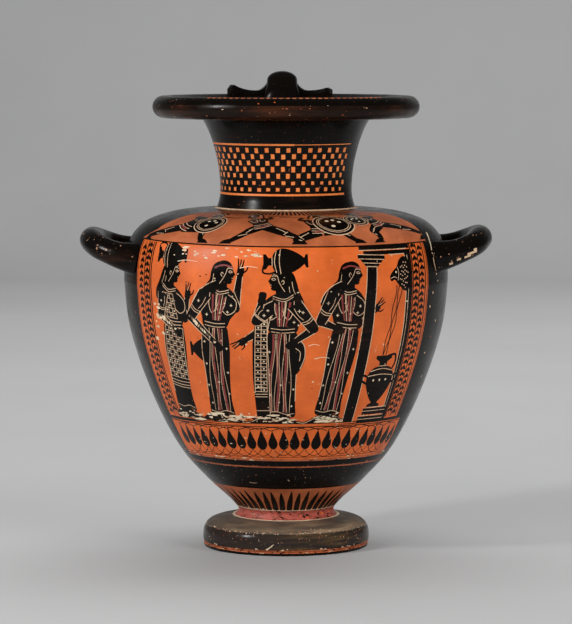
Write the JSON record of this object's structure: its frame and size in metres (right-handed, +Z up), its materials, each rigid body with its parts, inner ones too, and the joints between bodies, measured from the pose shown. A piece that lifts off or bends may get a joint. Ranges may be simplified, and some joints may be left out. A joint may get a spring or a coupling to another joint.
{
  "type": "hydria",
  "caption": "Hollow fired-clay water jar with a broad shoulder, flared neck, overhanging lip, rounded foot, two level side handles and a rear strap handle.",
  "frame": {"origin": "middle of the foot, on the plane that the jar stands on", "axes": "+Z up the jar's axis, -Y out of the painted front, +X towards the right-hand side handle seen from the front"},
  "size_m": [0.3708, 0.2918, 0.4272],
  "materials": {
    "fired_clay": "glossy black sintered slip over orange clay, with painted panels in front"
  },
  "bodies": {
    "root": {"hydria": "fired_clay"}
  },
  "joints": []
}
